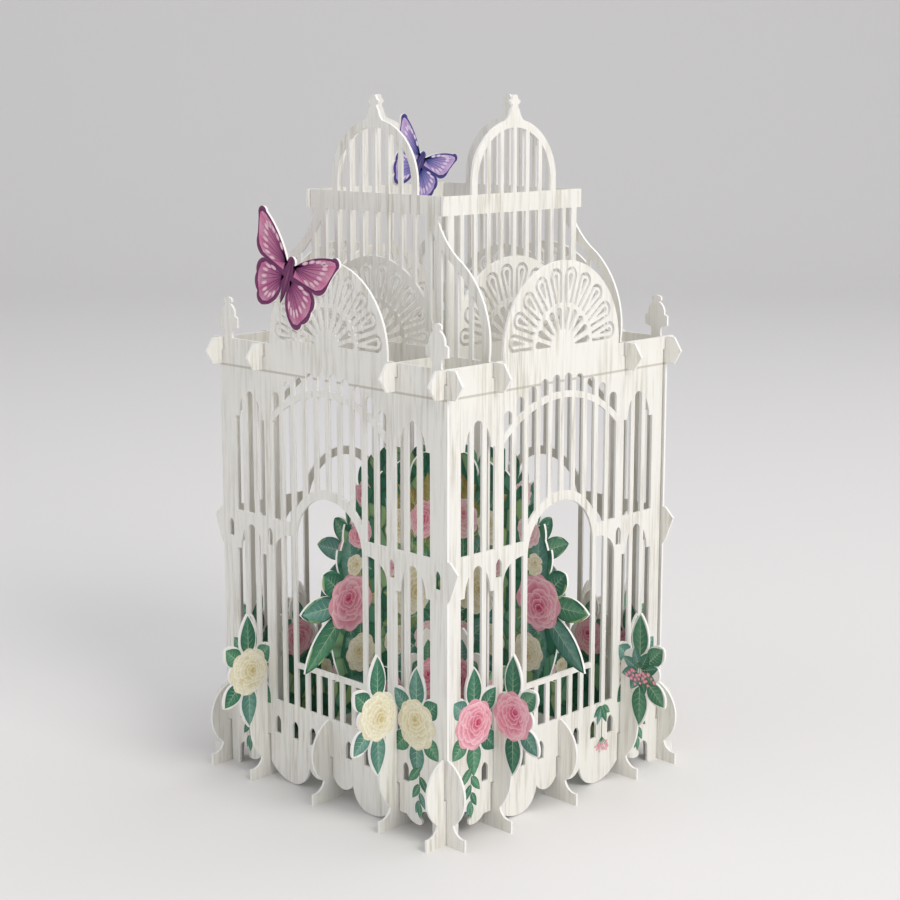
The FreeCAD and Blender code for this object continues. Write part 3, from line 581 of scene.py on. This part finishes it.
def trail(skin, u, top, bottom):
    # A hanging twig with leaves on alternate sides, printed down the plinth.
    skin.face([(u - STEM_HALF, top), (u + STEM_HALF, top),
               (u + STEM_HALF * 0.5, bottom), (u - STEM_HALF * 0.5, bottom)], [STEM] * 4, 1)
    count = 5
    for k in range(count):
        z = top - (top - bottom) * (k + 0.2) / count
        side = 1 if k % 2 else -1
        angle = -math.pi / 2 + side * (0.75 - 0.1 * k)
        leaf(skin, (u, z), angle, 7.0 - 0.55 * k, 3.0 - 0.2 * k, 1.5 + 0.1 * k, rng.choice(LEAVES))
    leaf(skin, (u, bottom + 1.0), -math.pi / 2, 4.6, 2.2, 2.2, LEAVES[1])


def sprig(skin, u, top, bottom):
    # Leaves and a fan of pink buds that hang on the plinth between two slits.
    for k, (angle, length) in enumerate(((-2.5, 5.0), (-0.64, 5.0), (-1.95, 6.4), (-1.2, 6.4))):
        leaf(skin, (u, top), angle, length, 2.5, 1 + 0.5 * k, LEAVES[k % 3])
    half = 0.15
    skin.face([(u - half, top), (u + half, top), (u + half, bottom), (u - half, bottom)], [STEM] * 4, 3)
    bud_spray(skin, (u, bottom), 5.4, PINK, 4)


# Leaf tips round each spray, counted from the panel's outer side upwards
EAR_TIPS = [0, 0.6, 1.3, 0, 0, 0, 1.25, 0.75]
INNER_TIPS = [0, 0.4, 0.9, 0, 0, 0, 0, 0]
BOUQUET_TIPS = [0.72, 0.4, 0.95, 0, 0, 0, 1.1, 1.15]
LOW_TIPS = [0, 0.3, 0.6, 0, 0, 0, 0, 0]
BAY_TIPS = [0, 0.5, 1.15, 0.65, 0, 0.7, 1.0, 0.6]

EAR_X = HALF + SLOT / 2 + EAR * 0.96
EAR_Z = PLINTH + EAR * 1.3
PILASTER_OUT = TOWER - SLOT / 8
BAY_X = (PILASTER_OUT + HALF - CORNER_POST) / 2 + 1.5
BAY_Z = PLINTH + BLOOM * 0.95
INNER_X = TOWER - SLOT * 0.2365 + BLOOM
INNER_Z = HEDGE + BLOOM * 0.7
LOW_Z = HEDGE + BLOOM * 0.9
BOUQUET_X = HALF - BOUQUET * 0.85
BOUQUET_Z = RAIL_TOP + BOUQUET * 2.2
TRAIL_X, TRAIL_TOP, TRAIL_LOW = 39.6, PLINTH - 5, 9.0
SPRIG_X, SPRIG_TOP, SPRIG_LOW = 21.0, PLINTH - 1.2, 15.0

# Blooms on the bush: place along, height, radius, colours. On the hedge: place along, radius, colours.
BUSH_BLOOMS = ((14.5, 62, 10.5, CREAM), (9.5, 84, 7.6, PINK), (22.5, 46, 5.6, CREAM), (21, 83, 6.6, CREAM),
               (8.5, 44, 6.4, BLUSH), (37.5, 84, 5.4, PINK), (24, 71, 4.0, BLUSH), (40, 74, 4.0, CREAM))
HEDGE_BLOOMS = ((8, 4.6, PINK), (17.5, 4.2, BLUSH), (24, 3.2, CREAM))
HEDGE_BLOOM_Z = HEDGE - 4.6
BUSH_LEAVES = 200
MOST_TRIES = 8000
BUSH_SIDE = 45.0
BUSH_ROOT = 40    # leaves point away from this height on the middle line
SUNNY = 50    # olive and fresh greens grow above this height
MIDDLE_CLEAR = 1.4
TOWER_CLEAR = 1.5
INNER_SCALE = 0.78


def bush_edge(u):
    share = min(abs(u) / BUSH_HALF, 1.0)
    return HEDGE + BUSH_HEIGHT * max(1 - share ** (2 / BUSH_SWELL), 0.0) ** (BUSH_SWELL / 2)


def clear_of_slots(points):
    # True where all the points lie on the mound, in one field between its slots.
    for u, z in points:
        a = abs(u)
        if a < MIDDLE_CLEAR or abs(a - TOWER) < TOWER_CLEAR or a > BUSH_SIDE:
            return False
        if z < PLINTH + 1 or z > bush_edge(u) + 0.5:
            return False
    return len({(u > 0, abs(u) > TOWER) for u, z in points}) == 1


def bush(skin):
    # Leaves all over the middle mound, in more greens towards its top, then full blooms.
    made = 0
    tries = 0
    while made < BUSH_LEAVES and tries < MOST_TRIES:
        tries += 1
        u = rng.uniform(-BUSH_SIDE, BUSH_SIDE)
        z = rng.uniform(PLINTH + 2, HEDGE + BUSH_HEIGHT)
        angle = math.atan2(z - BUSH_ROOT, u * 1.1) + rng.uniform(-0.8, 0.8)
        length = rng.uniform(9, 19)
        width = length * rng.uniform(0.40, 0.52)
        ca, sa = math.cos(angle), math.sin(angle)
        spots = [(u + length * t * ca - w * width * sa, z + length * t * sa + w * width * ca)
                 for t, w in ((0, 0), (0.5, 0.5), (0.5, -0.5), (1, 0))]
        if not clear_of_slots(spots):
            continue
        shades = rng.choice(LEAVES)
        chance = rng.random()
        if z > SUNNY and chance < 0.6:
            shades = OLIVE if chance < 0.25 else FRESH
        leaf(skin, (u, z), angle, length, width, 0.5 + made * 0.021, shades)
        made += 1
    for u, z, radius, palette in BUSH_BLOOMS:
        for side in BOTH_SIDES:
            bloom(skin, (side * u, z), radius, BLUSH if palette == PINK and side > 0 else palette, 5)


def hedge(skin):
    for u, radius, palette in HEDGE_BLOOMS:
        for side in BOTH_SIDES:
            bloom(skin, (side * u, HEDGE_BLOOM_Z), radius, palette, 2)


# Colours of the blooms on a wall's two sides. A blush one is a fan of buds.
BAY_COLOURS = {
    "front_wall": (PINK, CREAM),
    "back_wall": (CREAM, PINK),
    "right_wall": (PINK, BLUSH),
    "left_wall": (BLUSH, PINK),
}
for name, (family, plane) in PANELS.items():
    slot_name = "foliage_card" if "centre" in name else "whitewashed_card"
    skin = Skin(name + "_print", name, panel_place(family, plane), slot_name)
    for side in BOTH_SIDES:
        if "wall" in name:
            palette = BAY_COLOURS[name][0 if side < 0 else 1]
            spray(skin, side * BAY_X, BAY_Z, BLOOM, BAY_TIPS, palette, buds=palette == BLUSH)
            trail(skin, side * TRAIL_X, TRAIL_TOP, TRAIL_LOW)
            if family == "cross" and side > 0:
                sprig(skin, SPRIG_X, SPRIG_TOP, SPRIG_LOW)
        elif "tower" in name:
            palette = CREAM if family == "cross" else PINK
            spray(skin, side * EAR_X, EAR_Z, EAR, EAR_TIPS, palette, buds=name == "back_tower_frame")
            spray(skin, side * INNER_X, INNER_Z, BLOOM, INNER_TIPS, PINK, scale=INNER_SCALE)
        else:
            spray(skin, side * INNER_X, LOW_Z, BLOOM, LOW_TIPS, CREAM, scale=INNER_SCALE)
            spray(skin, side * BOUQUET_X, BOUQUET_Z, BOUQUET, BOUQUET_TIPS, PINK, leaf_reach=BOUQUET_LEAF)
    if "tower" in name:
        hedge(skin)
    if "centre" in name:
        bush(skin)
    skin.build()


# Butterflies: half outlines as shares of the span, and where each one lies on its card
FORE_WING = [(0.035, 0.085), (0.12, 0.165), (0.21, 0.235), (0.31, 0.293), (0.40, 0.328), (0.452, 0.336),
             (0.475, 0.315), (0.465, 0.26), (0.443, 0.19), (0.422, 0.12), (0.385, 0.06), (0.32, 0.02),
             (0.20, 0.008), (0.035, 0.0)]
HIND_WING = [(0.035, -0.01), (0.15, 0.0), (0.27, 0.0), (0.318, -0.04), (0.328, -0.12), (0.312, -0.19),
             (0.27, -0.262), (0.24, -0.312), (0.19, -0.327), (0.13, -0.30), (0.078, -0.235), (0.042, -0.14)]
WING_MARGIN = 0.9
WING_VEIN = 0.005
PATCH_PLACE = 0.76
PATCH_LONG, PATCH_WIDE = 0.034, 0.013
TRUNK_STEPS = 10
PINK_TURN = math.radians(23)
PINK_RIM = math.radians(128)
BLUE_TURN = math.radians(-30)
BLUE_RISE = 3.2


def butterfly(skin, span, warm, cool, dark, pale):
    # Wings with a dark margin, fine veins and a row of pale patches between them.
    for side in BOTH_SIDES:
        for wing, tone in ((FORE_WING, 0.0), (HIND_WING, 0.4)):
            shape = [(side * x * span, y * span) for x, y in wing]
            base = shape[0] if tone == 0 else (side * 0.04 * span, -0.03 * span)
            middle = tuple(sum(p[i] for p in shape) / len(shape) for i in (0, 1))
            skin.fan(middle, dark, shape, [mix(dark, cool, 0.2)] * len(shape), 0)
            inner = [mix(middle, p, WING_MARGIN) for p in shape]
            tones = [mix(mix(warm, cool, tone), pale, 0.35 * (i % 3) / 2) for i in range(len(inner))]
            skin.fan(base, mix(cool, dark, 0.35), inner, tones, 1)
            for i in range(2, len(inner) - 1):
                wing_vein(skin, base, inner[i], WING_VEIN * span, mix(dark, cool, 0.3))
                wing_patch(skin, base, mix(inner[i], inner[i - 1], 0.5), span, pale, mix(pale, warm, 0.45))
    shares = [k / TRUNK_STEPS for k in range(TRUNK_STEPS + 1)]
    trunk = [(0.022 * span * math.sin(math.pi * t) ** 0.6, (-0.235 + 0.38 * t) * span) for t in shares]
    trunk += [(-x, y) for x, y in reversed(trunk[1:-1])]
    skin.fan((0, 0), mix(dark, warm, 0.3), trunk, [dark] * len(trunk), 4)


def wing_vein(skin, base, tip, half, colour):
    du, dz = tip[0] - base[0], tip[1] - base[1]
    reach = math.hypot(du, dz)
    nu, nz = -dz / reach * half, du / reach * half
    skin.face([(base[0] + nu, base[1] + nz), tip, (base[0] - nu, base[1] - nz)], [colour] * 3, 2)


def wing_patch(skin, base, edge, span, middle, rim):
    # A long pale spot that points away from the wing's root.
    spot = mix(base, edge, PATCH_PLACE)
    ahead = math.atan2(spot[1] - base[1], spot[0] - base[0])
    ca, sa = math.cos(ahead), math.sin(ahead)
    ring = []
    for k in range(ROUND):
        turn = k * 2 * math.pi / ROUND
        along, across = PATCH_LONG * span * math.cos(turn), PATCH_WIDE * span * math.sin(turn)
        ring.append((spot[0] + along * ca - across * sa, spot[1] + along * sa + across * ca))
    skin.fan(spot, middle, ring, [rim] * ROUND, 3)


def pink_place(u, z, side, layer):
    ca, sa = math.cos(PINK_TURN), math.sin(PINK_TURN)
    x = FAN_RADIUS * math.cos(PINK_RIM) + u * ca + z * sa
    up = FAN_CENTRE + FAN_RADIUS * math.sin(PINK_RIM) - u * sa + z * ca
    return (x, -HALF - BOARD + side * proud(layer), up)


def blue_place(u, z, side, layer):
    ca, sa = math.cos(BLUE_TURN), math.sin(BLUE_TURN)
    y = DOME_RADIUS - DOME_BAND / 2 + u * ca - z * sa
    up = DOME_CENTRE + BLUE_RISE + u * sa + z * ca
    return (-TOWER + BOARD + side * proud(layer), y, up)


skin = Skin("pink_butterfly_print", "front_wall", pink_place, "pink_card")
butterfly(skin, MOTH_SPAN, srgb(0.88, 0.50, 0.66), srgb(0.66, 0.26, 0.52), srgb(0.36, 0.16, 0.34),
          srgb(0.97, 0.86, 0.90))
skin.build()
skin = Skin("blue_butterfly_print", "left_tower_frame", blue_place, "blue_card")
butterfly(skin, SMALL_MOTH_SPAN, srgb(0.78, 0.64, 0.84), srgb(0.36, 0.44, 0.78), srgb(0.16, 0.14, 0.36),
          srgb(0.92, 0.86, 0.96))
skin.build()

# Floor and light
floor_material, _, shader = start_material("pale_floor")
shader.inputs["Base Color"].default_value = (*srgb(0.92, 0.912, 0.906), 1.0)
shader.inputs["Roughness"].default_value = 0.8

# The photograph's camera, fitted: direction and distance from the point that it looks at
azimuth, elevation, distance = math.radians(44.62), math.radians(9.881), 0.5858
target = Vector((0, 0, 0.11965))
back = Vector((math.sin(azimuth) * math.cos(elevation), -math.cos(azimuth) * math.cos(elevation),
               math.sin(elevation)))

# A sweep: floor, a quarter curve, and an upright backdrop behind the object, in metres
SWEEP_FRONT, SWEEP_BEND, SWEEP_CURVE, SWEEP_TOP, SWEEP_HALF = -6.0, 1.4, 0.7, 3.0, 6.0
CURVE_STEPS = 12
away = Vector((-math.sin(azimuth), math.cos(azimuth), 0))
across = Vector((math.cos(azimuth), math.sin(azimuth), 0))
profile = [(SWEEP_FRONT, 0.0), (SWEEP_BEND, 0.0)]
for step in range(1, CURVE_STEPS + 1):
    turn = step * math.pi / 2 / CURVE_STEPS
    profile.append((SWEEP_BEND + SWEEP_CURVE * math.sin(turn), SWEEP_CURVE - SWEEP_CURVE * math.cos(turn)))
profile.append((SWEEP_BEND + SWEEP_CURVE, SWEEP_TOP))
sweep_ends = (-SWEEP_HALF, SWEEP_HALF)
mesh = bmesh.new()
rows = [[mesh.verts.new(away * run + across * side + Vector((0, 0, up))) for side in sweep_ends]
        for run, up in profile]
for low, high in zip(rows, rows[1:]):
    made = mesh.faces.new((low[0], low[1], high[1], high[0]))
    made.smooth = True
data = bpy.data.meshes.new("floor")
mesh.to_mesh(data)
mesh.free()
floor = bpy.data.objects.new("floor", data)
scene.collection.objects.link(floor)
data.materials.append(floor_material)

world = bpy.data.worlds.new("studio")
world.use_nodes = True
scene.world = world
background = world.node_tree.nodes["Background"]
background.inputs["Color"].default_value = (*srgb(0.93, 0.935, 0.95), 1.0)
background.inputs["Strength"].default_value = 0.62


def add_area(name, place, aim, size, power, colour):
    lamp = bpy.data.lights.new(name, "AREA")
    lamp.size = size
    lamp.energy = power
    lamp.color = colour
    made = bpy.data.objects.new(name, lamp)
    scene.collection.objects.link(made)
    made.location = place
    made.rotation_euler = (Vector(aim) - Vector(place)).to_track_quat("-Z", "Y").to_euler()


add_area("key", (1.25, -0.15, 0.95), (0, 0, 0.09), 0.7, 11.0, (1.0, 0.98, 0.95))
add_area("fill", (-0.7, -1.3, 0.9), (0, 0, 0.1), 1.2, 3.0, (0.95, 0.97, 1.0))
add_area("top", (0.1, 0.5, 1.5), (0, 0, 0.1), 1.0, 5.0, (1.0, 1.0, 1.0))

camera_data = bpy.data.cameras.new("camera")
camera = bpy.data.objects.new("camera", camera_data)
scene.collection.objects.link(camera)
camera.location = target + back * distance
camera.rotation_euler = back.to_track_quat("Z", "Y").to_euler()
camera_data.sensor_width = 36.0
camera_data.lens = 72.63
camera_data.shift_x = 0.0068
camera_data.shift_y = -0.0501
camera_data.clip_start = 0.01
scene.camera = camera
scene.view_settings.view_transform = "Standard"
